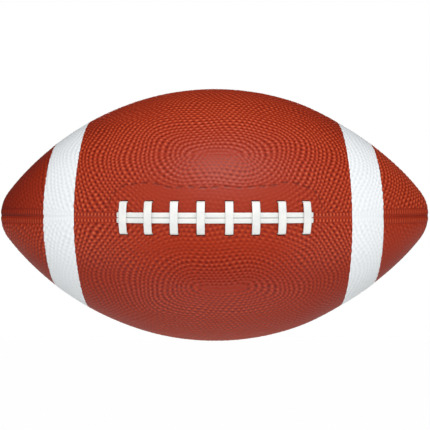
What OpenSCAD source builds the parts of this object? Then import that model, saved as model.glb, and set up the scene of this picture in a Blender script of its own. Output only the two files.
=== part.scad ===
// American football, full size, laminated rubber with a hand-threaded lace.
// The ball lies along X with its centre at the origin, +Z is up, and the lacing faces -Y.
// Four leaf-shaped panels meet at seams on the -Y, +Z, +Y and -Z sides.

/* [Ball] */
// Overall length from nose to nose
ball_len = 280; // [270:1:290]
// Diameter of the belly, across the middle of the panels
ball_dia = 163; // [156:1:170]
// Radius of the lengthwise arc over the belly
belly_arc_r = 163.5; // [158:0.5:168]
// Half of the angle that the belly arc spans
belly_half_angle = 20; // [18:0.5:22]
// Radius of the rounded nose
nose_r = 26; // [23:0.5:29]

/* [Layers] */
// Thickness of a cover panel
cover_t = 1.6; // [1.4:0.1:2.2]
// Thickness of the rubber carcass under the cover
carcass_t = 0.6; // [0.5:0.1:1]
// Thickness of the wound nylon layer
winding_t = 0.5; // [0.4:0.1:0.8]
// Thickness of the bladder wall
bladder_t = 0.7; // [0.5:0.1:1]
// Bond line between one layer and the next
bond_gap = 0.05; // [0.03:0.01:0.1]

/* [Seams] */
// Hairline between two panels at the bottom of a seam
seam_gap = 0.2; // [0.1:0.05:0.3]
// Width of the rolled edge that each panel has along a seam
seam_roll_w = 1.7; // [1.2:0.1:2.2]
// Depth of the seam below the panels
seam_depth = 0.5; // [0.4:0.1:1]
// Radius of the rolled edge in section
seam_roll_r = 3.2; // [2.8:0.1:4]

/* [Stripes] */
// Distance from the tip of a nose to the outer edge of its stripe, along the ball's axis
stripe_to_nose = 38.8; // [34:0.2:44]
// Width of a stripe, measured along the ball's axis
stripe_w = 20.9; // [18:0.1:25]
// Thickness of the painted film
stripe_film_t = 0.15; // [0.1:0.05:0.3]

/* [Lace] */
// Distance between the middles of two crosses next to each other
cross_pitch = 14.8; // [14:0.05:15]
// Extra pitch between the two middle crosses
cross_middle_extra = 0.8; // [0:0.1:1.2]
// Width of the lace where it crosses
cross_w = 4.5; // [3.8:0.1:5]
// Thickness of the lace where it crosses
cross_t = 0.95; // [0.85:0.05:1.3]
// Overall width of the crosses, from face to face
cross_span = 18.6; // [17:0.1:19.4]
// How far a cross drops from its middle, over the runs, to its ends
cross_drop = 0.7; // [0.4:0.1:1.1]
// Width of the lace where it runs lengthwise
rail_w = 2.65; // [2.4:0.05:3.1]
// Thickness of the lace where it runs lengthwise
rail_t = 0.9; // [0.8:0.05:1.4]
// Gap between two stretches of the lace that lie beside or over each other
lace_gap = 0.45; // [0.42:0.01:0.6]
// Gap between the lace and the cover
lace_seat_gap = 0.12; // [0.08:0.01:0.2]
// How far the lengthwise runs reach past the middle of the end crosses
rail_stub = 4.4; // [4:0.1:5]
// Bevel on the edges of the lace
lace_bevel = 0.3; // [0.2:0.05:0.35]
// Inner radius where the lace turns flat under the cover
turn_inner_r = 0.35; // [0.2:0.05:1]
// Length of the tucked tail at the start of the lace
tail_len = 5; // [3:0.5:6]

/* [Lace pad] */
// Width of the pad's rim round the lace channel
pad_rim = 2.4; // [1.5:0.1:4]
// Thickness of the pad's floor under the lace
pad_floor_t = 1; // [0.8:0.1:1.5]
// Gap round the lace in its holes and under the cover
hole_gap = 0.4; // [0.3:0.05:0.5]

/* [Valve] */
// Radius of the valve housing's stem
stem_r = 4.6; // [4:0.1:5.5]
// Radius of the flange that bonds the housing to the bladder
flange_r = 11; // [9:0.5:14]
// Length of the housing from the cover's face inwards
stem_len = 18; // [17:0.5:22]
// Radius of the self-sealing plug
plug_r = 3.4; // [3:0.1:3.6]
// Length of the self-sealing plug
plug_len = 14; // [11:0.5:15]
// Radius of the inflating needle's bore
needle_r = 1.1; // [0.9:0.05:1.3]
// How far the valve's face lies below the cover
valve_sink = 0.4; // [0.3:0.1:0.8]
// Gap between the valve and the layers that it passes through
valve_gap = 0.2; // [0.1:0.05:0.4]
// Gap round the plug in its housing
plug_gap = 0.05; // [0.03:0.01:0.1]
// Depth of the lead-in round the needle's bore
lead_in = 0.8; // [0.5:0.1:1.2]

/* [Hidden] */
$fn = 180;

// Overrun of every cutter past what it cuts
cut_over = 1;
// How far the shoulder circle is drawn in where it joins the belly and the nose
arc_slack = 0.002;
// Angle by which the shoulder's seam cutter runs past its arc at both ends
arc_overrun = 1.5;

// Half profile: a belly arc, a shoulder arc and a nose arc, each tangent to the next
half_len = ball_len / 2;
half_dia = ball_dia / 2;
belly_c = half_dia - belly_arc_r;
nose_x = half_len - nose_r;
belly_dir = [sin(belly_half_angle), cos(belly_half_angle)];
belly_end = [0, belly_c] + belly_arc_r * belly_dir;
nose_to_belly = belly_end - [nose_x, 0];
shoulder_arc_r = (nose_to_belly * nose_to_belly - nose_r * nose_r)
    / (2 * (nose_to_belly * belly_dir - nose_r));
shoulder_centre = belly_end - shoulder_arc_r * belly_dir;
nose_angle = atan2(nose_x - shoulder_centre[0], -shoulder_centre[1]);

// Distance from the middle of the ball to the inner edge of a stripe
stripe_start = half_len - stripe_to_nose - stripe_w;

// Depths of the layers, from the cover's outer face
carcass_top = -cover_t - bond_gap;
winding_top = carcass_top - carcass_t - bond_gap;
bladder_top = winding_top - winding_t - bond_gap;

// Heights of the middle of the lace over the cover's outer face
rail_h = lace_seat_gap + rail_t / 2;
cross_h = lace_seat_gap + rail_t + lace_gap + cross_t / 2;
cross_end_h = cross_h - cross_drop;
cross_under_h = -cover_t - hole_gap - cross_t / 2;
rail_under_h = -cover_t - hole_gap - rail_t / 2;

// Places of the lace along the belly arc and across it
cross_count = 8;
rail_c = (rail_w + lace_gap) / 2;
hole_c = (cross_span - cross_t) / 2;
rail_bend_r = rail_t * 3 / 4;
over_bend_r = cross_t * 5 / 4;
under_bend_r = cross_t * 9 / 10;
turn_r = cross_w / 2 + turn_inner_r;
end_s = cross_s(cross_count - 1) + rail_stub - rail_t / 2;
loop_s = end_s + rail_bend_r;
loop_c = hole_c + under_bend_r + turn_r;
loop_r = (loop_c - rail_c) / 2;

// Heights of the lace pad, from the cover's outer face
pad_channel_h = -cover_t - 2 * hole_gap - max(cross_t, rail_t);
pad_bottom = pad_channel_h - pad_floor_t;
pad_corner_r = loop_r + cross_w / 2 + hole_gap;

function cross_s(i) = (i - (cross_count - 1) / 2) * cross_pitch
    + (i < cross_count / 2 ? -1 : 1) * cross_middle_extra / 2;

function unit(v) = v / norm(v);
function belly_angle(s) = s / belly_arc_r * 180 / PI;

// Position from p = [arc length along the belly, place across, height over the cover]
function belly_radius(p) = belly_c + (belly_arc_r + p[2]) * cos(belly_angle(p[0]));
function belly_y(p) = -sqrt(belly_radius(p) * belly_radius(p) - p[1] * p[1]);
function belly_point(p) = [(belly_arc_r + p[2]) * sin(belly_angle(p[0])), belly_y(p), p[1]];

// Direction of the lace's width at p, from its share along the belly and its share across
function belly_width(p, along, across) =
    let (a = belly_angle(p[0]), y = belly_y(p))
    along * unit([cos(a), -sin(a) * belly_radius(p) / y, 0]) + across * unit([0, -p[1] / y, 1]);

// A quarter of a bend as [across, up] pairs, from angle f to angle t about a centre
function bend(centre, r, f, t, steps = 3) =
    [for (k = [0:steps]) let (g = f + (t - f) * k / steps) centre + r * [cos(g), sin(g)]];

// A station of the lace is [s, c, h, width direction along, width direction across, width, thickness]
function rail_station(s, c, h) = [s, c, h, 0, 1, rail_w, rail_t];
function cross_station(s, c, h) = [s, c, h, 1, 0, cross_w, cross_t];

// One cross, up through its lower hole, over the runs and down through its upper hole
function cross_path(i) =
    let (in_bend = i == 0
             ? bend([-hole_c - under_bend_r, cross_under_h + under_bend_r], under_bend_r, 270, 360)
             : bend([-hole_c + under_bend_r, cross_under_h + under_bend_r], under_bend_r, 270, 180),
         up_bend = bend([-hole_c + over_bend_r, cross_end_h - over_bend_r], over_bend_r, 180, 90),
         over = [for (k = [-1:1]) [k * (2 * rail_c + lace_gap), cross_h]],
         down_bend = bend([hole_c - over_bend_r, cross_end_h - over_bend_r], over_bend_r, 90, 0),
         out_bend = bend([hole_c - under_bend_r, cross_under_h + under_bend_r], under_bend_r, 0, -90))
    [for (q = concat(in_bend, up_bend, over, down_bend, out_bend)) cross_station(cross_s(i), q[0], q[1])];

// The slanting run under the cover from one cross to the next
function slant_path(i) =
    let (c0 = hole_c - under_bend_r, steps = 6)
    [for (k = [1:steps - 1]) let (u = k / steps)
        cross_station(cross_s(i) + (cross_s(i + 1) - cross_s(i)) * u * u * (3 - 2 * u),
                      c0 * (1 - 2 * u), cross_under_h)];

// A lengthwise run on the cover from the left end to the right, at c across
function run_path(c) =
    [for (k = [0:2 * (cross_count - 1)])
        let (i = floor(k / 2), s = k % 2 == 0 ? cross_s(i) : (cross_s(i) + cross_s(i + 1)) / 2)
        rail_station(s, c, rail_h)];

// The S-bend at the right end of a run, down through the end slot and on outwards
function end_path(c) =
    concat([for (q = bend([end_s - rail_bend_r, rail_h - rail_bend_r], rail_bend_r, 90, 0))
                rail_station(q[0], c, q[1])],
           [for (q = bend([end_s + rail_bend_r, rail_under_h + rail_bend_r], rail_bend_r, 180, 270))
                rail_station(q[0], c, q[1])]);

function reversed(list) = [for (k = [len(list) - 1:-1:0]) list[k]];
function mirrored(list) = [for (p = list) [-p[0], p[1], p[2], p[3], p[4], p[5], p[6]]];
function turned(list) = [for (p = list) [p[0], p[1], p[2], -p[3], -p[4], p[5], p[6]]];

// The flat half turn between the two runs, under the cover at the right end
u_turn = [for (k = [1:5]) let (g = 90 - 30 * k)
    [loop_s + rail_c * cos(g), rail_c * sin(g), rail_under_h, cos(g), sin(g), rail_w, rail_t]];

// The flat loop at the left end that leads from the second run to the first cross, as it widens
loop_turn = [for (k = [1:8]) let (g = 90 + 22.5 * k, u = k / 8)
    [-loop_s + loop_r * cos(g), -(rail_c + loop_r) + loop_r * sin(g),
     rail_under_h + (cross_under_h - rail_under_h) * u, -cos(g), -sin(g),
     rail_w + (cross_w - rail_w) * u, rail_t + (cross_t - rail_t) * u]];
loop_exit = [for (k = [0:2]) let (g = -90 + 30 * k)
    [cross_s(0) - turn_r + turn_r * cos(g), -loop_c + turn_r + turn_r * sin(g),
     cross_under_h, cos(g), sin(g), cross_w, cross_t]];

first_tail = [rail_station(-loop_s - tail_len, rail_c, rail_under_h)];
last_tail = [cross_station(cross_s(cross_count - 1), rail_c + rail_w / 2 + 2 * lace_gap, cross_under_h)];

lace_route = concat(
    first_tail,
    reversed(mirrored(end_path(rail_c))),
    run_path(rail_c),
    end_path(rail_c),
    u_turn,
    turned(reversed(end_path(-rail_c))),
    turned(reversed(run_path(-rail_c))),
    turned(mirrored(end_path(-rail_c))),
    loop_turn,
    loop_exit,
    [for (i = [0:cross_count - 1]) each concat(cross_path(i), i < cross_count - 1 ? slant_path(i) : [])],
    last_tail);

// Three-dimensional stations: middle, direction of the run, of the width and of the thickness
lace_mid = [for (p = lace_route) belly_point(p)];
lace_last = len(lace_mid) - 1;
lace_dir = [for (k = [0:lace_last])
    unit(lace_mid[min(k + 1, lace_last)] - lace_mid[max(k - 1, 0)])];
lace_wide = [for (k = [0:lace_last])
    let (p = lace_route[k], w = belly_width(p, p[3], p[4]))
    unit(w - (w * lace_dir[k]) * lace_dir[k])];
lace_up = [for (k = [0:lace_last]) cross(lace_dir[k], lace_wide[k])];

// The bevelled section of the lace, as [width, thickness] pairs
function lace_section(w, t) =
    let (x = w / 2, y = t / 2, xb = x - lace_bevel, yb = y - lace_bevel)
    [[x, -yb], [x, yb], [xb, y], [-xb, y], [-x, yb], [-x, -yb], [-xb, -y], [xb, -y]];

// Length of the lace up to each station, and the least gap between stretches that are not neighbours
function path_len(k) = k == 0 ? 0 : norm(lace_mid[k] - lace_mid[k - 1]);
lace_reach = [for (k = 0, r = 0; k <= lace_last; k = k + 1, r = r + (k <= lace_last ? path_len(k) : 0)) r];
function half_extent(k, u) =
    abs(u * lace_wide[k]) * lace_route[k][5] / 2 + abs(u * lace_up[k]) * lace_route[k][6] / 2;
function apart(i, j, u) = abs((lace_mid[j] - lace_mid[i]) * u) - half_extent(i, u) - half_extent(j, u);
lace_gaps = [for (i = [0:lace_last]) for (j = [i + 1:lace_last])
    if (lace_reach[j] - lace_reach[i] > 2 * cross_w && norm(lace_mid[j] - lace_mid[i]) < 2 * cross_w)
        max([for (u = [unit(lace_mid[j] - lace_mid[i]), lace_up[i], lace_up[j], lace_wide[i], lace_wide[j]])
            apart(i, j, u)])];

// Placement: children are drawn with x along the belly, y across and z out of the cover
module at_belly(s, c) {
    translate([0, -belly_c, c]) rotate([0, 0, belly_angle(s)]) translate([0, -belly_arc_r, 0])
        rotate([90, 0, 0]) children();
}

// 2D half section at an offset d from the cover's face: x is the radius, y runs along the axis.
// The belly and nose circles run on inside the shoulder, which is drawn in by a hair to cross them.
module section(d) {
    belly_y = (belly_arc_r + d) * belly_dir[0];
    shoulder_y = shoulder_centre[0] + (shoulder_arc_r + d) * sin(nose_angle);
    middle_y = (belly_y + shoulder_y) / 2;
    intersection() {
        translate([belly_c, 0]) circle(belly_arc_r + d);
        translate([0, -middle_y]) square([ball_dia, 2 * middle_y]);
    }
    for (side = [0, 1]) mirror([0, side]) {
        intersection() {
            translate([shoulder_centre[1] - arc_slack, shoulder_centre[0]]) circle(shoulder_arc_r + d);
            translate([0, belly_y]) square([ball_dia, shoulder_y - belly_y]);
        }
        intersection() {
            translate([0, nose_x]) circle(nose_r + d);
            translate([0, middle_y]) square([ball_dia, ball_len]);
        }
    }
}

// The solid of revolution along X at an offset d.
// It starts at -Z (0), +Y (90), +Z (180) or -Y (270) and turns that way.
module revolved(d, start = 0, turn = 360) {
    rotate([0, 90, 0]) rotate([0, 0, start]) rotate_extrude(angle = turn) section(d);
}

// Section of the cutter that rolls two panel edges down into a seam: x is out, y is across
module roll_section(d) {
    half_chord = norm([seam_roll_w, seam_depth]) / 2;
    lean = sqrt(seam_roll_r * seam_roll_r - half_chord * half_chord) / (2 * half_chord);
    difference() {
        translate([d - seam_depth, -seam_roll_w]) square([seam_depth + cut_over, 2 * seam_roll_w]);
        for (side = [0, 1]) mirror([0, side])
            translate([-seam_depth / 2 - seam_roll_w * lean, seam_roll_w / 2 + seam_depth * lean])
                circle(seam_roll_r + d);
    }
}

// The cutter of a seam over the shoulder at +X, in the XY plane on the +Y side.
// It is drawn in like the shoulder and runs on past both its ends, into the cutters next to it.
module shoulder_cutter(d) {
    translate([shoulder_centre[0], shoulder_centre[1] - arc_slack, 0])
        rotate([0, 0, 90 - nose_angle - arc_overrun])
            rotate_extrude(angle = nose_angle - belly_half_angle + 2 * arc_overrun)
                translate([shoulder_arc_r, 0]) roll_section(d);
}

// The cutter of one whole seam, swept about the profile's arc centres
module seam_cutter(d) {
    past_pole = asin(2 * seam_roll_w / nose_r);
    translate([0, belly_c, 0]) rotate([0, 0, 90 - belly_half_angle])
        rotate_extrude(angle = 2 * belly_half_angle) translate([belly_arc_r, 0]) roll_section(d);
    for (side = [0, 1]) mirror([side, 0, 0]) {
        shoulder_cutter(d);
        translate([nose_x, 0, 0]) rotate([0, 0, -past_pole])
            rotate_extrude(angle = 90 - nose_angle + past_pole)
                translate([nose_r, 0]) roll_section(d);
    }
}

// The pad's outline in plan, grown by g, extruded out through the -Y side
module pad_prism(g) {
    x = loop_s;
    y = rail_c + loop_r;
    r = pad_corner_r + g;
    rotate([90, 0, 0]) linear_extrude(ball_dia) {
        for (i = [-1, 1], j = [-1, 1]) translate([i * x, j * y]) circle(r);
        square([2 * (x + r), 2 * y], center = true);
        square([2 * x, 2 * (y + r)], center = true);
    }
}

// What lies outside the height h over the cover, within the pad's outline grown by g
module pad_space(h, g) {
    difference() {
        pad_prism(g);
        revolved(h);
    }
}

// A solid at depth d with the pad's seat pressed into it
module dented(d, h, g) {
    difference() {
        revolved(d);
        pad_space(h, g);
    }
}

// One of the layers under the cover: its face is at depth d, and depth e is how far the seat has sunk
module inner_layer(d, t, e) {
    difference() {
        dented(d, pad_bottom - e, pad_rim + e);
        dented(d - t, pad_bottom - e - t, pad_rim + e + t);
    }
}

// A hole through the layers at the valve
module valve_hole(r) {
    rotate([-90, 0, 0]) translate([0, 0, half_dia - stem_len]) cylinder(r = r, h = stem_len + cut_over);
}

module bladder() {
    color("#2a2826") difference() {
        inner_layer(bladder_top, bladder_t, carcass_t + winding_t + 3 * bond_gap);
        valve_hole(stem_r + valve_gap);
    }
}

module winding() {
    color("#d8d2c0") difference() {
        inner_layer(winding_top, winding_t, carcass_t + 2 * bond_gap);
        valve_hole(flange_r + valve_gap);
    }
}

module carcass() {
    color("#5a4a40") difference() {
        inner_layer(carcass_top, carcass_t, bond_gap);
        valve_hole(stem_r + valve_gap);
    }
}

module valve_housing() {
    color("#1e1d1c") difference() {
        union() {
            rotate([-90, 0, 0]) translate([0, 0, half_dia - stem_len])
                cylinder(r = stem_r, h = stem_len - valve_sink);
            intersection() {
                difference() {
                    revolved(winding_top);
                    revolved(winding_top - winding_t);
                }
                valve_hole(flange_r);
            }
        }
        rotate([-90, 0, 0]) translate([0, 0, half_dia - valve_sink - plug_len - plug_gap])
            cylinder(r = plug_r + plug_gap, h = plug_len + cut_over);
        rotate([-90, 0, 0]) translate([0, 0, half_dia - stem_len - cut_over])
            cylinder(r = 2 * needle_r, h = stem_len);
    }
}

module valve_plug() {
    face = half_dia - valve_sink;
    color("#3a3532") rotate([-90, 0, 0]) difference() {
        translate([0, 0, face - plug_len]) cylinder(r = plug_r, h = plug_len);
        translate([0, 0, face - plug_len - cut_over]) cylinder(r = needle_r, h = plug_len + 2 * cut_over);
        translate([0, 0, face - lead_in])
            cylinder(r1 = needle_r, r2 = needle_r + 2 * lead_in, h = 2 * lead_in);
    }
}

module lace_pad() {
    color("#7d3524") difference() {
        intersection() {
            revolved(-cover_t - bond_gap);
            pad_space(pad_bottom, pad_rim);
        }
        pad_space(pad_channel_h, 0);
    }
}

// A round-ended slot through the cover, l long along x and w wide
module slot(l, w) {
    translate([0, 0, -2 * cover_t]) linear_extrude(3 * cover_t) {
        for (side = [-1, 1]) translate([side * (l - w) / 2, 0]) circle(w / 2);
        square([l - w, w], center = true);
    }
}

// All lace holes of the cover
module lace_holes() {
    for (i = [0:cross_count - 1], side = [-1, 1])
        at_belly(cross_s(i), side * hole_c) slot(cross_w + 2 * hole_gap, cross_t + 2 * hole_gap);
    for (side = [-1, 1])
        at_belly(side * end_s, 0) rotate([0, 0, 90])
            slot(2 * rail_c + rail_w + 2 * hole_gap, rail_t + 2 * hole_gap);
}

// The solid quarter between +Y and +Z at an offset d, with both its seam edges rolled
module quarter(d) {
    difference() {
        revolved(d, 90, 90);
        seam_cutter(d);
        rotate([90, 0, 0]) seam_cutter(d);
    }
}

// The panel of that quarter, before its holes
module panel_blank() {
    translate([0, seam_gap / 2, seam_gap / 2]) difference() {
        quarter(0);
        revolved(-cover_t);
    }
}

module front_panel() {
    difference() {
        mirror([0, 1, 0]) panel_blank();
        lace_holes();
    }
}

module back_panel() {
    difference() {
        panel_blank();
        valve_hole(stem_r + valve_gap);
    }
}

module panel_front_upper() {
    color("#a8402a") front_panel();
}

module panel_front_lower() {
    color("#a8402a") mirror([0, 0, 1]) front_panel();
}

module panel_back_upper() {
    color("#a8402a") back_panel();
}

module panel_back_lower() {
    color("#a8402a") mirror([0, 0, 1]) back_panel();
}

module lace() {
    rings = [for (k = [0:lace_last])
        [for (q = lace_section(lace_route[k][5], lace_route[k][6]))
            lace_mid[k] + q[0] * lace_wide[k] + q[1] * lace_up[k]]];
    n = len(rings[0]);
    sides = [for (k = [0:lace_last - 1]) for (j = [0:n - 1])
        let (a = k * n + j, b = k * n + (j + 1) % n, c = b + n, d = a + n)
        each [[a, b, c], [a, c, d]]];
    z = lace_last * n;
    caps = [for (j = [1:n - 2]) each [[0, j + 1, j], [z, z + j, z + j + 1]]];
    color("#f2f2ef") polyhedron(points = [for (r = rings) each r], faces = concat(sides, caps));
}

// The quarter at an offset d over the stripe's band alone, which is grown by g at both edges
module band_quarter(d, g) {
    difference() {
        rotate([0, 90, 0]) rotate([0, 0, 90]) rotate_extrude(angle = 90) intersection() {
            section(d);
            translate([0, stripe_start - g]) square([ball_dia, stripe_w + 2 * g]);
        }
        shoulder_cutter(d);
        rotate([90, 0, 0]) shoulder_cutter(d);
    }
}

// The painted film of one stripe on the two front panels, down into the seams, over its bond line
module stripe() {
    for (lower = [0, 1]) mirror([0, 0, lower]) mirror([0, 1, 0])
        translate([0, seam_gap / 2, seam_gap / 2]) difference() {
            band_quarter(bond_gap + stripe_film_t, 0);
            band_quarter(bond_gap, cut_over);
        }
}

module stripe_right() {
    color("#e8eef0") stripe();
}

module stripe_left() {
    color("#e8eef0") mirror([1, 0, 0]) stripe();
}

echo(lace_least_gap = min(lace_gaps), lace_length = lace_reach[lace_last], rings = lace_last + 1);

bladder();
valve_housing();
valve_plug();
winding();
carcass();
lace_pad();
panel_front_upper();
panel_front_lower();
panel_back_upper();
panel_back_lower();
lace();
stripe_left();
stripe_right();
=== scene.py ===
"""Visual model of a laced american football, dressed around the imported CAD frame.

Lengths are in millimetres up to the last step, where every mesh is scaled to metres. A place on the
cover is given by s, the arc length along a meridian from the middle of the ball, and theta, the
angle from the seam on the Y axis (0) to the seam on the Z axis (a quarter turn). With the radius r
of the ball there, a = r theta is measured round the ball from the seam on the Y axis, and
c = r sin theta straight up from it.
"""

import math

import bpy
import numpy as np
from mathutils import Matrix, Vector


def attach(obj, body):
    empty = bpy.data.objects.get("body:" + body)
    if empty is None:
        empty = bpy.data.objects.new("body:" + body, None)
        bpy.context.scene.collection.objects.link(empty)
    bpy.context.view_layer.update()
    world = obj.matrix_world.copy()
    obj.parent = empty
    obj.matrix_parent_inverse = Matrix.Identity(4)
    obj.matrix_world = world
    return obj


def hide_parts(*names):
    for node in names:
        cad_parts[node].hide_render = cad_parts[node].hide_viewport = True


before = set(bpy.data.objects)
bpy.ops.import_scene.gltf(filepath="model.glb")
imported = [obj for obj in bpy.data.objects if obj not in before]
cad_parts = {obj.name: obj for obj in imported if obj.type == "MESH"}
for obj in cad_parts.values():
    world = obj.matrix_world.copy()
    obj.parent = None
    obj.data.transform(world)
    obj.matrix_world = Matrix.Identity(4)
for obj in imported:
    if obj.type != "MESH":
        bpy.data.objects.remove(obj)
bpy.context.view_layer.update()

MM = 0.001
QUARTER = math.pi / 2

# Sizes shared with the CAD source
BALL_LEN, BALL_DIA = 280.0, 163.0
BELLY_R, BELLY_ANGLE, NOSE_R = 163.5, math.radians(20), 26.0
COVER_T = 1.6
CROSS_PITCH, CROSS_MIDDLE_EXTRA, CROSS_COUNT = 14.8, 0.8, 8
CROSS_W, CROSS_T, CROSS_SPAN, CROSS_DROP = 4.5, 0.95, 18.6, 0.7
RAIL_W, RAIL_T, RAIL_STUB = 2.65, 0.9, 4.4
LACE_GAP, LACE_SEAT_GAP, LACE_BEVEL, TURN_INNER_R = 0.45, 0.12, 0.3, 0.35
TAIL_LEN, HOLE_GAP, HOLE_RIM = 5.0, 0.4, 0.22
STEM_R, VALVE_GAP = 4.6, 0.2

# The visible hairline of a seam, half its width
HAIR = 0.008

# Slimmer right shoulder of the photographed ball: its depth, the places between which it sets in,
# the share by which it eases again and the places between which it does
RIGHT_SLIM, SLIM_SET_IN, SLIM_EASE, SLIM_EASES = 1.1, (52, 90), 0.5, (110, 150)

# Three tangent arcs of the profile: belly, shoulder, nose
BELLY_C = BALL_DIA / 2 - BELLY_R
NOSE_X = BALL_LEN / 2 - NOSE_R
_dir = np.array([math.sin(BELLY_ANGLE), math.cos(BELLY_ANGLE)])
_end = np.array([0.0, BELLY_C]) + BELLY_R * _dir
_gap = _end - np.array([NOSE_X, 0.0])
SHOULDER_R = (_gap @ _gap - NOSE_R**2) / (2 * (_gap @ _dir - NOSE_R))
SHOULDER_C = _end - SHOULDER_R * _dir
NOSE_ANGLE = math.atan2(NOSE_X - SHOULDER_C[0], -SHOULDER_C[1])
BELLY_LEN = BELLY_R * BELLY_ANGLE
SHOULDER_LEN = SHOULDER_R * (NOSE_ANGLE - BELLY_ANGLE)
HALF_MERIDIAN = BELLY_LEN + SHOULDER_LEN + NOSE_R * (QUARTER - NOSE_ANGLE)


def smooth_step(value, low, high):
    """0 below low, 1 above high, with a smooth cubic between."""
    t = np.clip((value - low) / (high - low), 0, 1)
    return t * t * (3 - 2 * t)


def meridian(s):
    """Axial place x, radius r and slope phi of the profile at arc length s: x = centre + R sin phi,
    r = centre + R cos phi on whichever of the three arcs s falls."""
    s = np.asarray(s, float)
    t = np.abs(s)
    on_belly, on_shoulder = t < BELLY_LEN, t < BELLY_LEN + SHOULDER_LEN
    phi = np.where(on_belly, t / BELLY_R,
                   np.where(on_shoulder, BELLY_ANGLE + (t - BELLY_LEN) / SHOULDER_R,
                            NOSE_ANGLE + (t - BELLY_LEN - SHOULDER_LEN) / NOSE_R))
    radius = np.where(on_belly, BELLY_R, np.where(on_shoulder, SHOULDER_R, NOSE_R))
    centre_x = np.where(on_belly, 0, np.where(on_shoulder, SHOULDER_C[0], NOSE_X))
    centre_r = np.where(on_belly, BELLY_C, np.where(on_shoulder, SHOULDER_C[1], 0))
    side = np.sign(s)
    return side * (centre_x + radius * np.sin(phi)), centre_r + radius * np.cos(phi), side * phi


def at_x(x):
    """Arc length s at which the profile has the axial place x, read off a fine table."""
    table = np.linspace(0, HALF_MERIDIAN, 4000)
    return np.sign(x) * np.interp(np.abs(x), meridian(table)[0], table)


def slimmer_shoulder(s):
    """How far the outer face lies under the symmetric profile towards the right nose: a soft step
    in s, half as deep at the nose."""
    return RIGHT_SLIM * smooth_step(s, *SLIM_SET_IN) * (1 - SLIM_EASE * smooth_step(s, *SLIM_EASES))


def on_cover(s, theta, height, side_y, side_z):
    """Points at a height over the cover: the profile's point pushed out along its normal and turned
    by theta. The slimming fades out from the outer face to the inner one, which stays."""
    height = height - slimmer_shoulder(s) * np.clip(1 + height / COVER_T, 0, 1)
    x, r, phi = meridian(s)
    out = r + height * np.cos(phi)
    return np.stack([x + height * np.sin(phi),
                     side_y * out * np.cos(theta), side_z * out * np.sin(theta)], -1)


# From here on a pair that is picked by lower holds the upper panels' value, then the lower ones'.
# The other pairs are the two places between which something sets in.

# ---------------------------------------------------------------- pebbles of the moulded cover
# Pitch of the rows, how slowly it grows outwards, stretch along s and half of the middle line
PEBBLE_PITCH, PITCH_GROWTH, RING_STRETCH, RING_HALF = 2.3, 420.0, 1.12, 14.0
# Waver of the rows: size in mm, then radians per mm of a and of s
ALONG_WAVER = ((1.1, 0.17, 0.06), (0.5, 0.0, 0.31))
ACROSS_WAVER = ((1.1, -0.05, 0.14), (0.5, 0.37, 0.0))
# Height, and as shares of the pitch the spacing in a row and the radius across the row
PEBBLE_HEIGHT, PEBBLE_SPACING, PEBBLE_R = 0.55, 1.15, 0.76
# Squeeze of the distance along the row, which makes the pebbles oval
PEBBLE_OVAL = 0.82
# Radius of the painted highlight on a pebble's inner flank and of the painted shade in the hollow
# behind its outer flank, and how far they lie inwards and outwards
FLANK_R, FLANK_SHIFT, HOLLOW_SHIFT = 0.56, 0.2, 0.24
# How much the place of a pebble in mm and its size as a share vary
PLACE_SCATTER, SIZE_SCATTER = 0.4, 0.2
# Tone of rubber that has neither painted highlight nor painted shade, and the distances between
# which tones set in
EVEN_TONE, CORE_FADE = 0.55, (0.8, 3.5)


def scatter(i, j):
    """A fixed random-looking number from 0 to 1 for every pair of whole numbers: the fraction of a
    large multiple of a sine."""
    v = np.sin(i * 127.1 + j * 311.7) * 43758.5453
    return v - np.floor(v)


def hump(d, r):
    """Raised cosine of a distance, 1 at 0 and 0 from r on."""
    return 0.5 + 0.5 * np.cos(np.pi * np.clip(d / r, 0, 1))


def wavered(value, waves, s, a):
    """The value plus slow sine waves over the cover."""
    for size, by_a, by_s in waves:
        value = value + size * np.sin(by_a * a + by_s * s)
    return value


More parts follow.
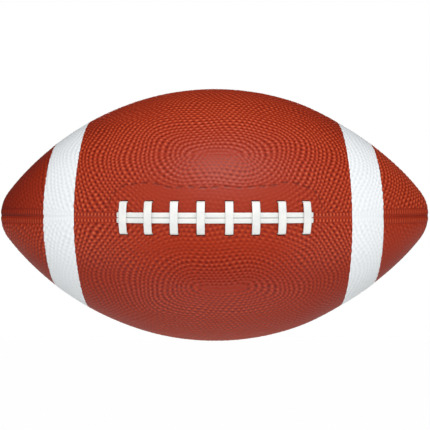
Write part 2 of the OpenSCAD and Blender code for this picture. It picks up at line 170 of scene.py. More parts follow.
def pebbles(s, a, centre_s, centre_a):
    """Height share and tone of pebbles in staggered rows on rings round a centre, which are
    stretched along s and waver as hand-laid ones do. Ring k lies at G (exp(k P / G) - 1) from a
    short line along s, so the pitch P (1 + distance / G) grows slowly outwards, and each ring holds
    a whole number of pebbles, each a raised cosine of the distance from its middle. The tone is
    painted light and shade: a painted highlight on the inner flank of a pebble and painted shade in
    the hollow behind its outer flank, but for the line in the middle."""
    along = wavered((s - centre_s) / RING_STRETCH, ALONG_WAVER, s, a)
    across = wavered((a - centre_a) * RING_STRETCH, ACROSS_WAVER, s, a)
    core = RING_HALF * np.tanh(along / RING_HALF)
    reach = np.hypot(along - core, across)
    ring = PITCH_GROWTH / PEBBLE_PITCH * np.log1p(reach / PITCH_GROWTH)
    pitch = PEBBLE_PITCH * (1 + reach / PITCH_GROWTH)
    angle = np.arctan2(along - core, np.abs(across) + 1e-9)
    high, light, dark = (np.zeros_like(ring) for _ in range(3))
    for k in (np.floor(ring), np.floor(ring) + 1):
        ring_r = PITCH_GROWTH * np.expm1(k * PEBBLE_PITCH / PITCH_GROWTH)
        half = 2 * RING_HALF + math.pi * ring_r
        count = np.round(half / (PEBBLE_PITCH * (1 + ring_r / PITCH_GROWTH) * PEBBLE_SPACING))
        step = half / count
        place = (core + ring_r * angle) / step + 0.5 * (k % 2)
        nearest = np.round(place)
        twist = scatter(k + 7 * np.sign(across), nearest)
        aside = (place - nearest) * step
        out = (ring - k) * pitch + PLACE_SCATTER * (twist - 0.5)
        size = 1 - SIZE_SCATTER + SIZE_SCATTER * twist
        oval = np.hypot(PEBBLE_OVAL * aside, out)
        # Centres of each pebble's painted highlight, inwards, and of its painted shade, outwards
        flank = np.hypot(aside, out + FLANK_SHIFT * pitch)
        hollow = np.hypot(aside, out - HOLLOW_SHIFT * pitch)
        high = np.maximum(high, size * hump(oval, PEBBLE_R * pitch))
        light = np.maximum(light, size * hump(flank, FLANK_R * pitch))
        dark = np.maximum(dark, size * hump(hollow, FLANK_R * pitch))
    off_core = smooth_step(reach, *CORE_FADE)
    return high, EVEN_TONE + off_core * ((1 - EVEN_TONE) * light - EVEN_TONE * dark)


# ---------------------------------------------------------------- seams
SEAM_DROP, SEAM_TROUGH_W = 0.22, 0.8
# Bars along the seams: pitch, inner and outer end, and how much longer they are at the noses
BAR_PITCH, BAR_INNER, BAR_OUTER, BAR_EXTRA, BAR_LENGTHENS = 2.35, 0.9, 2.6, 2.0, (96, 118)
# Share of the bar's half length over which its end fades
BAR_FADE = (0.55, 1.05)


def seam_roll(q):
    """Height of the cover at a distance q from a seam, a soft trough -SEAM_DROP exp(-(q/w)^2)."""
    return -SEAM_DROP * np.exp(-((q / SEAM_TROUGH_W) ** 2))


def seam_bar_end(s):
    """Distance from the seam to the far end of the bars, which are longer towards the noses."""
    return BAR_OUTER + BAR_EXTRA * smooth_step(np.abs(s), *BAR_LENGTHENS)


def seam_bars(s, q):
    """Height share of the short bars that stand across the seam in a row on each side of it."""
    along = 0.5 + 0.5 * np.cos(2 * np.pi * s / BAR_PITCH)
    outer = seam_bar_end(s)
    middle = (BAR_INNER + outer) / 2
    reach = np.abs(q - middle) / (outer - middle)
    return along * (1 - smooth_step(reach, *BAR_FADE))


# ---------------------------------------------------------------- plain field round the lacing
CROSS_S = (np.arange(CROSS_COUNT) - (CROSS_COUNT - 1) / 2) * CROSS_PITCH
CROSS_S = CROSS_S + np.sign(CROSS_S) * CROSS_MIDDLE_EXTRA / 2
HOLE_C = (CROSS_SPAN - CROSS_T) / 2
RAIL_C = (RAIL_W + LACE_GAP) / 2
END_S = CROSS_S[-1] + RAIL_STUB - RAIL_T / 2
# Outline: half width, its swell with place and width, waver in mm and in radians per mm
FIELD_HALF, FIELD_SWELL, SWELL_S, SWELL_W, FIELD_WAVER, WAVER_RATE = 17.2, 2.7, 41, 10, 0.35, 0.33
# Where the outline starts to close, where it is closed, and how round its ends are
FIELD_CLOSES, FIELD_END, FIELD_ROUND = 50, 63.0, 2.4
# Relief kept inside, how it comes back towards the ends, and the soft edge at the outline
FIELD_KEEP, ENDS_KEEP, ENDS_EASE, FIELD_ENDS = (0.16, 0.62), 0.55, 0.5, (30, 56)
FIELD_EDGE = (-2.2, 0.6)
# Dashes: pitch, half width, depth and its share on each panel, cosines where a dash starts and is
# full, and the height from which the outline counts as an end
DASH_PITCH, DASH_W, DASH_DEPTH, DASH_SHARE = 6.6, 0.42, 0.28, (1.0, 0.35)
DASH_EDGE, DASH_TURN = (-0.45, -0.1), 16
# How far past the closed end the dashes go, and the places where the outline's slope is read
DASH_PAST, SLOPE_S, SLOPE_STEP = 0.5, np.linspace(-70, 70, 1401), 0.1


def lacing_field_edge(s):
    """Distance from the seam to the wavy outline of the plain field round the lacing."""
    t = np.abs(s)
    wave = (FIELD_HALF + FIELD_SWELL * np.exp(-(((t - SWELL_S) / SWELL_W) ** 2))
            + FIELD_WAVER * np.sin(s * WAVER_RATE))
    closing = np.clip((t - FIELD_CLOSES) / (FIELD_END - FIELD_CLOSES), 0, 1)
    return wave * np.sqrt(np.clip(1 - closing**FIELD_ROUND, 0, 1))


def lacing_field(s, c, lower):
    """Share of relief that is left in the plain field, and the depth of its dashed outline."""
    edge = lacing_field_edge(s)
    inside = (1 - smooth_step(c - edge, *FIELD_EDGE)) * (np.abs(s) < FIELD_END)
    keep = FIELD_KEEP[lower]
    keep = keep + (ENDS_KEEP - ENDS_EASE * keep) * smooth_step(np.abs(s), *FIELD_ENDS)
    tilt = np.interp(s, SLOPE_S, np.gradient(lacing_field_edge(SLOPE_S), SLOPE_STEP))
    off = (c - edge) / np.sqrt(1 + tilt**2)
    turn = s + np.sign(s) * (edge < DASH_TURN) * (DASH_TURN - edge)
    dash = smooth_step(np.cos(2 * np.pi * turn / DASH_PITCH), *DASH_EDGE)
    groove = np.exp(-((off / DASH_W) ** 2)) * dash * (np.abs(s) < FIELD_END + DASH_PAST)
    return 1 - inside * (1 - keep), groove * DASH_SHARE[lower]


# ---------------------------------------------------------------- holes
# Reach of the snapping of points onto a hole's edge, width of the brim, height of the hole's floor
HOLE_SNAP, HOLE_BRIM, HOLE_FLOOR = 0.3, 0.04, 0.1 - COVER_T
# Parts of a front and of a back panel, in s and c, in which the holes lie
LACING_REACH, VALVE_REACH = (60, 14), (8, 8)


def slot_distance(s, c, middle_s, middle_c, half_s, half_c):
    """Signed distance to a round-ended slot, and the direction away from it."""
    r = min(half_s, half_c)
    ds, dc = s - middle_s, c - middle_c
    es = ds - np.clip(ds, -(half_s - r), half_s - r)
    ec = dc - np.clip(dc, -(half_c - r), half_c - r)
    reach = np.hypot(es, ec)
    safe = np.maximum(reach, 1e-6)
    return reach - r, es / safe, ec / safe


def panel_slots(front):
    """Places and half sizes of the holes in one panel: on the front the lace holes and half of each
    end slot, on the back a half of the valve's hole."""
    if not front:
        return [(0.0, 0.0, STEM_R + VALVE_GAP, STEM_R + VALVE_GAP)]
    slots = [(s, HOLE_C, CROSS_W / 2 + HOLE_RIM, CROSS_T / 2 + HOLE_RIM) for s in CROSS_S]
    end = (RAIL_T / 2 + HOLE_RIM, RAIL_C + RAIL_W / 2 + HOLE_RIM)
    return slots + [(side * END_S, 0.0, *end) for side in (-1, 1)]


def cut_slots(s, c, slots):
    """Moves points near a slot's outline onto it and marks those inside, which drop to its
    floor."""
    inside = np.zeros(s.shape, bool)
    for slot in slots:
        d, gs, gc = slot_distance(s, c, *slot)
        rim, brim = (d >= 0) & (d < HOLE_SNAP), (d < 0) & (d > -HOLE_SNAP)
        shift = np.where(rim, -d, np.where(brim, -d - HOLE_BRIM, 0))
        s, c = s + shift * gs, c + shift * gc
        inside |= d < 0
    return s, np.maximum(c, HAIR), inside


# ---------------------------------------------------------------- edges of the painted stripes
# For each side the inner and the outer edge: axial place, bow at the seam and lean to the top
STRIPE_EDGES = {-1: ((80.4, 1.6, -0.3), (101.8, 0.8, -0.3)),
                1: ((79.8, 0.3, -1.1), (101.3, 0.1, -1.1))}
# Waver of the edges: size in mm and waves per radian, twice
EDGE_WAVER = ((0.1, 58), (0.06, 131))
# Share of the relief that paint fills, and how far outside and inside an edge that sets in
PAINT_FILL, FILL_OUT, FILL_IN = 0.45, 0.5, 0.4
# Depth of the bed of the film in the cover, and how far inside an edge it starts and is full
BED_DEPTH, BED_START, BED_FULL = 0.1, 0.6, 1.1


def stripe_edges(side_x, side_z, theta):
    """Axial places of a stripe's two edges, as masked by hand: place + bow cos^4 theta + lean sin
    theta, plus a waver of a tenth of a millimetre."""
    (slow, slow_rate), (quick, quick_rate) = EDGE_WAVER
    waver = slow * np.sin(theta * slow_rate) + quick * np.sin(theta * quick_rate + side_x)
    return [place + bow * np.cos(theta) ** 4 + lean * side_z * np.sin(theta) + way * waver
            for (place, bow, lean), way in zip(STRIPE_EDGES[side_x], (1, -1))]


def paint_share(x, inner, outer):
    """1 under a stripe's paint, 0 outside it, with a soft step at each edge."""
    return (smooth_step(x, inner - FILL_OUT, inner + FILL_IN)
            * (1 - smooth_step(x, outer - FILL_IN, outer + FILL_OUT)))


def paint_bed(s, theta, side_z):
    """Share by which the paint of both stripes fills a front panel's relief, and the depth of the
    bed that keeps the panel under the film."""
    x = np.abs(meridian(s)[0])
    fill, bed = np.zeros_like(s), np.zeros_like(s)
    for side_x in (-1, 1):
        inner, outer = stripe_edges(side_x, side_z, theta)
        on_side = np.sign(s) == side_x
        fill = fill + PAINT_FILL * paint_share(x, inner, outer) * on_side
        under = (smooth_step(x, inner + BED_START, inner + BED_FULL)
                 * (1 - smooth_step(x, outer - BED_FULL, outer - BED_START)))
        bed = bed + BED_DEPTH * under * on_side
    return fill, bed


# ---------------------------------------------------------------- mesh helpers
def zip_strip(a, at_a, b, at_b):
    """Triangles between two rows of points: every segment joins the point of the other row that its
    middle faces, found by the rows' parameters."""
    mid_a, mid_b = (at_a[:-1] + at_a[1:]) / 2, (at_b[:-1] + at_b[1:]) / 2
    to_b, to_a = np.searchsorted(mid_b, mid_a, "left"), np.searchsorted(mid_a, mid_b, "right")
    return np.concatenate([np.stack([a[:-1], a[1:], b[to_b]], -1),
                           np.stack([b[1:], b[:-1], a[to_a]], -1)])


def add_mesh(name, points, faces, attributes, sharp):
    """A piece from arrays of points in mm and of faces, turned outwards if its volume comes out
    negative, with point attributes and edges sharp from an angle in degrees."""
    points = np.asarray(points, float) * MM
    corner = points[faces]
    if faces.shape[1] == 4:
        one, other = corner[:, 0] + corner[:, 2], corner[:, 2] - corner[:, 0]
        volume = np.einsum("ij,ij->i", one, np.cross(other, corner[:, 3] - corner[:, 1])).sum()
    else:
        around = np.cross(corner[:, 1], corner[:, 2])
        volume = np.einsum("ij,ij->i", corner[:, 0], around).sum()
    if volume < 0:
        faces = faces[:, ::-1]
    mesh = bpy.data.meshes.new(name)
    mesh.from_pydata(points, [], faces)
    for key, values in attributes.items():
        column = mesh.attributes.new(key, "FLOAT", "POINT").data
        column.foreach_set("value", np.asarray(values, np.float32))
    mesh.shade_smooth()
    mesh.set_sharp_from_angle(angle=math.radians(sharp))
    mesh.validate()
    piece = bpy.data.objects.new(name, mesh)
    bpy.context.scene.collection.objects.link(piece)
    return piece


def finish_piece(piece, material, slot, *nodes):
    """Gives a piece its material and its place on the ball's one body, and hides the CAD parts of
    the nodes it stands for.
    """
    piece.data.materials.append(material)
    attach(piece, "root")
    if nodes:
        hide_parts(*nodes)


# ---------------------------------------------------------------- cover panels
# Middle of the rings of pebbles, s and a
FRONT_CENTRES, BACK_CENTRE = ((1.6, 37.7), (6.0, 41.6)), (0.0, 40.0)
# How soon past the bars the pebbles start and are full, and the same for their tone
PEBBLES_START, PEBBLES_FULL, TONE_BLEND = -0.1, 0.7, 0.6
# Wear at the noses: share worn off and how much more of it there is at the right one
NOSE_WEAR, WEAR_SETS_IN = ((0.4, -0.25), (0.5, 0.2)), (104, 116)
# Flat spot in the middle of the rings: share worn off, half sizes in s and a, offset in a
CALM, CALM_S, CALM_A, CALM_DROP = (0.58, 0.3), 42, 18, 3
# Fainter relief low on the lower panels: share, more of it to the sides, and where in s and a
LOW_WORN, LOW_SIDE_WORN, LOW_SIDES, LOW_FROM = 0.2, 0.25, (30, 60), (14, 40)
# Fainter relief along the outline of the plain field: share, half width, and where it ends in s
RIM_WORN, RIM_W, RIM_ENDS = 0.5, 5, (30, 55)
# Bars: height as a share of the relief's, where they start, and what is left of them at the lacing
BAR_SHARE, BAR_START, BAR_LACING, LACING_C, LACING_S = 0.4, (0.7, 1.1), 0.25, 4, 58
# Painted shade: towards the top seam, and low on the front's lower panel, with where they set in
TOP_SHADE, TOP_SHADE_FROM, TOP_SHADE_ENDS = (0.21, 0.05), (12, 62), (85, 110)
LOW_SHADE, LOW_SHADE_FROM = 0.07, (12, 36)
# Tone beside a seam: lift, painted highlight on the bars, painted shade in the hollow between them,
# each with its change at the noses
NOSE_TONES, SEAM_TONES_START = (98, 106), (0.6, 1.1)
SEAM_LIFT, BAR_TONE, BAR_TONE_NOSE, BAR_HOLLOW, BAR_HOLLOW_NOSE = 0.12, 0.75, 0.3, 0.45, 0.22
# Painted shade along a seam, as a dark line: depth and half width, each with its change at the
# noses and their tips
LINE_TONE, LINE_NOSE, LINE_TIP, LINE_TIPS = 0.2, 0.1, 0.14, (112, 128)
LINE_W, LINE_W_NOSE = 0.35, 0.1


def relief_kept(s, a, near, centre, lower):
    """Share of the pebbles' relief that is left, apart from the plain field round the lacing."""
    far = np.abs(s)
    base, more = NOSE_WEAR[lower]
    end = seam_bar_end(s)
    keep = smooth_step(near, end + PEBBLES_START, end + PEBBLES_FULL)
    keep = keep * (1 - (base + more * np.sign(s)) * smooth_step(far, *WEAR_SETS_IN))
    off_s, off_a = (s - centre[0]) / CALM_S, (a - centre[1] + CALM_DROP) / CALM_A
    keep = keep * (1 - CALM[lower] * np.exp(-(off_s**2 + off_a**2)))
    if lower:
        worn = LOW_WORN + LOW_SIDE_WORN * smooth_step(far, *LOW_SIDES)
        keep = keep * (1 - worn * smooth_step(a, *LOW_FROM))
    return keep


def tone_beside_seam(s, near, bars):
    """Tone of the strip beside a seam: painted highlights on the bars, painted shade in the hollows
    between them and a line of painted shade along the seam.
    """
    at_nose = smooth_step(np.abs(s), *NOSE_TONES)
    shown = smooth_step(near, *SEAM_TONES_START)
    # Painted highlight on the bars and painted shade between them, then painted shade along the
    # seam line
    row = (BAR_TONE - BAR_TONE_NOSE * at_nose) * bars - BAR_HOLLOW + BAR_HOLLOW_NOSE * at_nose
    deep = LINE_TONE - LINE_NOSE * at_nose + LINE_TIP * smooth_step(np.abs(s), *LINE_TIPS)
    line = deep * np.exp(-((near / (LINE_W + LINE_W_NOSE * at_nose)) ** 2))
    return EVEN_TONE + SEAM_LIFT * (1 - at_nose) + row * shown - line


def panel_relief(s, a, c, q_front, q_top, front, lower):
    """Relief share of the cover, its tone from pit (0) to crest (1), which holds painted highlights
    and painted shade, and the dashes round the lacing. Where the relief is worn or left plain, the
    tone is even."""
    centre = FRONT_CENTRES[lower] if front else BACK_CENTRE
    near, end = np.minimum(q_front, q_top), seam_bar_end(s)
    keep = relief_kept(s, a, near, centre, lower)
    bars = np.maximum(seam_bars(s, q_front), seam_bars(s, q_top)) * smooth_step(near, *BAR_START)
    groove = np.zeros_like(keep)
    if front:
        field, groove = lacing_field(s, c, lower)
        rim = np.exp(-(((c - lacing_field_edge(s)) / RIM_W) ** 2))
        rim = rim * (1 - smooth_step(np.abs(s), *RIM_ENDS))
        keep = keep * field * (1 - RIM_WORN * rim)
        bars = np.where((q_front < LACING_C) & (np.abs(s) < LACING_S), bars * BAR_LACING, bars)
    raw, tone = pebbles(s, a, *centre)
    tone = tone * keep + EVEN_TONE * (1 - keep)
    # Painted shade low on the front's lower panel
    if front and lower:
        tone = tone - LOW_SHADE * smooth_step(a, *LOW_SHADE_FROM)
    beside = tone_beside_seam(s, near, bars)
    tone = beside + (tone - beside) * smooth_step(near, end - TONE_BLEND, end + TONE_BLEND)
    # Painted shade towards the top seam
    shade = (1 - smooth_step(q_top, *TOP_SHADE_FROM)) * (1 - smooth_step(s, *TOP_SHADE_ENDS))
    tone = tone - TOP_SHADE[lower] * shade
    raised = raw * keep * smooth_step(near, end + PEBBLES_START, end + PEBBLES_FULL)
    return np.maximum(raised, BAR_SHARE * bars), groove, tone


# Spacing of the outer face's points in mm, and the gap that its last rows leave at the noses
SPACING, NOSE_GAP = 0.585, 0.45
# Closer points along a seam, the width of that strip, and the width that a row needs to have it
SEAM_STEPS, SEAM_STRIP, STRIP_FROM = np.array([0.0, 0.14, 0.42, 0.8, 1.25, 1.7]), 2.2, 8
# Rows of the outer face for each row of the inner one, and the spacing of that row's points
INNER_EVERY, INNER_SPACING = 10, 5.8


def outer_row(s):
    """One row of a panel's outer face: distances from the seam, and the row's width."""
    width = float(meridian(s)[1]) * QUARTER
    edge = min(HAIR, width / 6)
    clear = width - 2 * edge
    if clear > STRIP_FROM:
        count = max(3, int((clear - 2 * SEAM_STRIP) / SPACING))
        inner = np.linspace(SEAM_STRIP, clear - SEAM_STRIP, count)
        line = np.concatenate([SEAM_STEPS, inner, clear - SEAM_STEPS[::-1]])
    else:
        line = np.linspace(0, clear, max(4, int(clear / (0.7 * SPACING))))
    return line + edge, width


def inner_turn(s):
    """Angles of one row of a panel's inner face."""
    r = float(meridian(s)[1])
    half_gap = min(HAIR / r, QUARTER / 6)
    return np.linspace(half_gap, QUARTER - half_gap, max(3, int(r * QUARTER / INNER_SPACING)))


def numbered(lines, first=0):
    """Consecutive point numbers for rows of points, one array a row."""
    starts = first + np.cumsum([0] + [len(line) for line in lines])
    return [np.arange(one, two) for one, two in zip(starts[:-1], starts[1:])]


def even(line):
    """Equal steps from 0 to 1 for a row of points."""
    return np.linspace(0, 1, len(line))


def cover_panel(name, side_y, side_z):
    """One closed cover panel. Rows lie at equal steps of s, each with as many points as its width
    holds, closer at the seams; the outer face is the profile plus the relief, the inner face is
    coarse, and strips along the seams and at the noses join the two."""
    front, lower = side_y < 0, side_z < 0
    last = HALF_MERIDIAN - NOSE_GAP
    rows = np.linspace(-last, last, int(2 * last / SPACING))
    lines = [outer_row(s) for s in rows]
    share_at = [line / width for line, width in lines]
    s = np.repeat(rows, [len(line) for line, _ in lines])
    theta = np.concatenate([line for line, _ in lines]) / meridian(s)[1]
    c = meridian(s)[1] * np.sin(theta)

    reach_s, reach_c = LACING_REACH if front else VALVE_REACH
    near = (np.abs(s) < reach_s) & (c < reach_c)
    inside = np.zeros(s.shape, bool)
    s[near], c[near], inside[near] = cut_slots(s[near], c[near], panel_slots(front))
    r = meridian(s)[1]
    theta[near] = np.arcsin(c[near] / r[near])
    q_front, q_top = r * np.sin(theta) - HAIR, r * np.cos(theta) - HAIR

    share, groove, tone = panel_relief(s, r * theta, c, q_front, q_top, front, lower)
    fill, bed = paint_bed(s, theta, side_z) if front else (0.0, 0.0)
    roll = seam_roll(np.minimum(q_front, q_top))
    height = roll + PEBBLE_HEIGHT * (share * (1 - fill)) - DASH_DEPTH * groove - bed
    height = np.where(inside, HOLE_FLOOR, height)

    picked = np.linspace(0, len(rows) - 1, len(rows) // INNER_EVERY).astype(int)
    inner_rows = rows[np.unique(picked)]
    turns = [inner_turn(s_in) for s_in in inner_rows]
    inner_s, turn = np.repeat(inner_rows, [len(line) for line in turns]), np.concatenate(turns)
    points = [on_cover(s, theta, height, side_y, side_z),
              on_cover(inner_s, turn, np.full(len(turn), -COVER_T), side_y, side_z)]

    outer, inner = numbered([line for line, _ in lines]), numbered(turns, len(s))
    faces = [zip_strip(outer[i], share_at[i], outer[i + 1], share_at[i + 1])
             for i in range(len(rows) - 1)]
    faces += [zip_strip(two, even(two), one, even(one)) for one, two in zip(inner[:-1], inner[1:])]
    for end in (0, -1):
        first, second = (np.array([line[end] for line in face]) for face in (outer, inner))
        strip = zip_strip(first, rows, second, inner_rows)
        faces.append(strip if end == 0 else strip[:, ::-1])
    for end in (0, -1):
        strip = zip_strip(outer[end], share_at[end], inner[end], even(inner[end]))
        faces.append(strip[:, ::-1] if end == 0 else strip)
    hidden = np.zeros(len(turn))
    # The tone holds painted highlights and painted shade; groove and depth mark the dashes and the
    # holes, which the material darkens as painted shade
    return add_mesh(name, np.concatenate(points), np.concatenate(faces),
                    {"tone": np.concatenate([tone, hidden]),
                     "groove": np.concatenate([groove, hidden]),
                     "depth": np.concatenate([inside, hidden + 1])}, sharp=62)


# ---------------------------------------------------------------- painted stripes
# Points across and along a stripe, its width in steps, and the rim's and the first full step
STRIPE_ROWS, STRIPE_COLUMNS, STRIPE_STEPS, RIM_STEP, FIRST_STEP = 50, 170, 24, 0.35, 0.7
# Film over the cover: height at its rim, further rise, the steps it takes, depth of its underside
FILM_RIM, FILM_RISE, FILM_STEP, FILM_UNDER = 0.02, 0.11, 0.36, 0.25


def stripe_half(side_x, side_z, first):
    """Half a stripe, on one front panel: points, faces numbered from first, and tones. The top
    repeats the cover's relief, a little filled, on a grid from seam to seam."""
    rim = np.array([0.0, RIM_STEP])
    inside = np.linspace(FIRST_STEP, STRIPE_STEPS - FIRST_STEP, STRIPE_ROWS - 4)
    t = np.concatenate([rim / STRIPE_STEPS, inside / STRIPE_STEPS,
                        1 - rim[::-1] / STRIPE_STEPS])[:, None]
    turn = np.linspace(0, 1, STRIPE_COLUMNS)[None, :] * QUARTER
    inner, outer = (at_x(x) for x in stripe_edges(side_x, side_z, turn))
    s = side_x * (inner + (outer - inner) * t)
    x, r, _ = meridian(s)

    seam = np.broadcast_to(np.append(SEAM_STEPS, SEAM_STRIP), (STRIPE_ROWS, len(SEAM_STEPS) + 1))
    arc = r[:, :1] * QUARTER - 2 * HAIR
    line = np.linspace(0, 1, STRIPE_COLUMNS - 2 * seam.shape[1] + 2)[None, 1:-1]
    a = np.concatenate([seam, SEAM_STRIP + (arc - 2 * SEAM_STRIP) * line, arc - seam[:, ::-1]], 1)
    a = a + HAIR
    gap = HAIR / r[:, :1]
    theta = np.clip(a / r, gap, QUARTER - gap)
    q_front, q_top = r * np.sin(theta) - HAIR, r * np.cos(theta) - HAIR

    share, _, tone = panel_relief(s, a, r * np.sin(theta), q_front, q_top, True, side_z < 0)
    edges = stripe_edges(side_x, side_z, theta)
    share = share * (1 - PAINT_FILL * paint_share(np.abs(x), *edges))
    roll = seam_roll(np.minimum(q_front, q_top))
    film = FILM_RIM + FILM_RISE * smooth_step(np.minimum(t, 1 - t) * STRIPE_STEPS, 0.0, FILM_STEP)
    top = on_cover(s, theta, roll + PEBBLE_HEIGHT * share + film, -1, side_z)
    under = on_cover(s, theta, roll - FILM_UNDER, -1, side_z)

    n = s.size
    i = np.arange(n).reshape(s.shape) + first
    quad = np.stack([i[:-1, :-1], i[1:, :-1], i[1:, 1:], i[:-1, 1:]], -1).reshape(-1, 4)
    border = np.concatenate([i[:, 0], i[-1, 1:], i[-2::-1, -1], i[0, -2:0:-1]])
    around = np.roll(border, -1)
    side = np.stack([border, around, around + n, border + n], -1)
    faces = np.concatenate([quad, quad[:, ::-1] + n, side[:, ::-1]])
    if side_x * side_z > 0:
        faces = faces[:, ::-1]
    points = np.concatenate([top.reshape(-1, 3), under.reshape(-1, 3)])
    return points, faces, np.concatenate([tone.ravel(), np.zeros(n)])


def stripe_piece(name, side_x):
    """A closed film of paint on both front panels, whose edges waver by a fraction of a pebble."""
    low = stripe_half(side_x, -1, 0)
    high = stripe_half(side_x, 1, len(low[0]))
    points, faces, relief = (np.concatenate(pair) for pair in zip(low, high))
    # The attribute relief holds the cover's tone, with its painted highlights and painted shade
    return add_mesh(name, points, faces, {"relief": relief}, sharp=62)


# ---------------------------------------------------------------- the lace
RAIL_H = LACE_SEAT_GAP + RAIL_T / 2
CROSS_H = LACE_SEAT_GAP + RAIL_T + LACE_GAP + CROSS_T / 2
CROSS_END_H = CROSS_H - CROSS_DROP
CROSS_UNDER_H = -COVER_T - HOLE_GAP - CROSS_T / 2
RAIL_UNDER_H = -COVER_T - HOLE_GAP - RAIL_T / 2
RAIL_BEND_R, OVER_BEND_R, UNDER_BEND_R = RAIL_T * 3 / 4, CROSS_T * 5 / 4, CROSS_T * 9 / 10
TURN_R = CROSS_W / 2 + TURN_INNER_R
LOOP_S = END_S + RAIL_BEND_R
LOOP_C = HOLE_C + UNDER_BEND_R + TURN_R
LOOP_R = (LOOP_C - RAIL_C) / 2
# Fall of a cross from its middle: place as a share of its reach, fall as a share of CROSS_DROP
CROSS_SAG = ((1.62, 0.62), (1.32, 0.3), (1.12, 0.09), (0.93, 0.0))
# Steps in degrees of the flat turns and of the loop, and the steps of a slanting stretch
TURN_STEP, LOOP_STEP, LOOP_STEPS, SLANT_STEPS = 15, 11.25, 16, 12
# Signs on a station's columns that flip a bend to the left end, or turn a stretch over
FLIPPED, TURNED = np.array([-1.0, 1, 1, 1, 1, 1, 1]), np.array([1.0, 1, 1, -1, -1, 1, 1])
# Crown on the lace's top, its shape across, extra half width of a run on the cover with the depth
# over which it fades, steps of a rounded corner, and the least step along the route
CROWN, CROWN_SHAPE, RUN_EASE, RUN_FADE = 0.06, np.array([[0.6, 1.0, 0.6]]), 0.1, 0.3
CORNER_STEPS, FLAT_SHARE, LEAST_STEP = 5, 0.45, 0.05


def bend(centre, r, start, end, steps=6):
    """Points on an arc about a centre, as [across, up] pairs, between two angles in degrees."""
    g = np.radians(np.linspace(start, end, steps + 1))[:, None]
    return np.asarray(centre) + r * np.concatenate([np.cos(g), np.sin(g)], 1)


def stations(*columns):
    """Stations of the lace, one row each: place s, c and height, direction of the width along and
    across, width and thickness."""
    return np.stack(np.broadcast_arrays(*[np.asarray(v, float) for v in columns]), -1)


def rail(s, c, h):
    """Stations of a lengthwise run."""
    return stations(s, c, h, 0, 1, RAIL_W, RAIL_T)


def cross(s, c, h):
    """Stations of a cross."""
    return stations(s, c, h, 1, 0, CROSS_W, CROSS_T)


def flat_turns():
    """The turn under the right end, the loop under the left one and the way out of that loop."""
    g = np.radians(90 - TURN_STEP * np.arange(1, 12))
    turn = stations(LOOP_S + RAIL_C * np.cos(g), RAIL_C * np.sin(g), RAIL_UNDER_H,
                    np.cos(g), np.sin(g), RAIL_W, RAIL_T)
    step = np.arange(1, LOOP_STEPS + 1)
    g, u = np.radians(90 + LOOP_STEP * step), step / LOOP_STEPS
    loop = stations(-LOOP_S + LOOP_R * np.cos(g), -(RAIL_C + LOOP_R) + LOOP_R * np.sin(g),
                    RAIL_UNDER_H + (CROSS_UNDER_H - RAIL_UNDER_H) * u, -np.cos(g), -np.sin(g),
                    RAIL_W + (CROSS_W - RAIL_W) * u, RAIL_T + (CROSS_T - RAIL_T) * u)
    g = np.radians(-90 + TURN_STEP * np.arange(0, 6))
    way_out = stations(CROSS_S[0] - TURN_R + TURN_R * np.cos(g),
                       -LOOP_C + TURN_R + TURN_R * np.sin(g), CROSS_UNDER_H,
                       np.cos(g), np.sin(g), CROSS_W, CROSS_T)
    return turn, loop, way_out


def cross_path(first):
    """One cross from below the cover over both runs and down again, as [across, up] pairs. The
    first one comes from outside, the others from the cross before."""
    low = CROSS_UNDER_H + UNDER_BEND_R
    start = -HOLE_C - UNDER_BEND_R if first else -HOLE_C + UNDER_BEND_R
    reach = 2 * RAIL_C + LACE_GAP
    over = [[-k * reach, CROSS_H - d * CROSS_DROP] for k, d in CROSS_SAG] + [[0, CROSS_H]]
    over = over + [[-c, h] for c, h in over[-2::-1]]
    side, top = HOLE_C - OVER_BEND_R, CROSS_END_H - OVER_BEND_R
    return np.concatenate([bend((start, low), UNDER_BEND_R, 270, 360 if first else 180),
                           bend((-side, top), OVER_BEND_R, 180, 110), over,
                           bend((side, top), OVER_BEND_R, 70, 0),
                           bend((HOLE_C - UNDER_BEND_R, low), UNDER_BEND_R, 0, -90)])


def lace_route():
    """The whole lace, in the order in which it is threaded: a tail, one run, a flat turn under the
    cover, the second run, a flat loop, then eight crosses joined by slanting stretches, and a
    tail."""
    down = (END_S - RAIL_BEND_R, RAIL_H - RAIL_BEND_R)
    out = (END_S + RAIL_BEND_R, RAIL_UNDER_H + RAIL_BEND_R)
    end = np.concatenate([bend(down, RAIL_BEND_R, 90, 0), bend(out, RAIL_BEND_R, 180, 270)])
    run_s = np.sort(np.concatenate([CROSS_S, (CROSS_S[1:] + CROSS_S[:-1]) / 2]))
    first_end, first_run = rail(end[:, 0], RAIL_C, end[:, 1]), rail(run_s, RAIL_C, RAIL_H)
    back_end, back_run = rail(end[:, 0], -RAIL_C, end[:, 1]), rail(run_s, -RAIL_C, RAIL_H)
    turn, loop, way_out = flat_turns()
    route = [rail([-LOOP_S - TAIL_LEN], RAIL_C, RAIL_UNDER_H), (first_end * FLIPPED)[::-1],
             first_run, first_end, turn, (back_end * TURNED)[::-1], (back_run * TURNED)[::-1],
             back_end * FLIPPED * TURNED, loop, way_out]
    for i, s in enumerate(CROSS_S):
        path = cross_path(i == 0)
        route.append(cross(s, path[:, 0], path[:, 1]))
        if i < CROSS_COUNT - 1:
            u = np.arange(1, SLANT_STEPS) / SLANT_STEPS
            route.append(cross(s + (CROSS_S[i + 1] - s) * u * u * (3 - 2 * u),
                               (HOLE_C - UNDER_BEND_R) * (1 - 2 * u), CROSS_UNDER_H))
    route.append(cross([CROSS_S[-1]], RAIL_C + RAIL_W / 2 + 2 * LACE_GAP, CROSS_UNDER_H))
    return np.concatenate(route)


def unit(v):
    """Vectors scaled to length 1."""
    return v / np.linalg.norm(v, axis=-1, keepdims=True)


